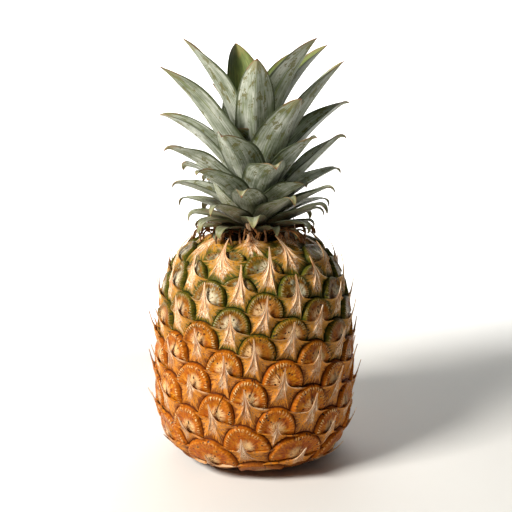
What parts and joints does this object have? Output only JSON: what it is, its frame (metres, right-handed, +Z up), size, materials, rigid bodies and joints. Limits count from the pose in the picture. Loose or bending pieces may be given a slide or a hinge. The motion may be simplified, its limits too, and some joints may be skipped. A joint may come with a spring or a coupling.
{
  "type": "pineapple",
  "caption": "Whole ripe pineapple standing on its cut base, with spiky bracts over a knobbly rind and a full crown of arching, pointed leaves.",
  "frame": {"origin": "middle of the flat spot the fruit stands on", "axes": "+Z up along the core of the fruit towards the crown; -Y is the front"},
  "size_m": [0.137, 0.137, 0.2656],
  "materials": {
    "rind": "semi-gloss waxy rind, green at the shoulders and orange brown lower down, with dry papery bracts",
    "foliage": "satin leaf with a pale waxy bloom and dry brown tips"
  },
  "bodies": {
    "root": {"fruit": "rind", "crown": "foliage"}
  },
  "joints": []
}
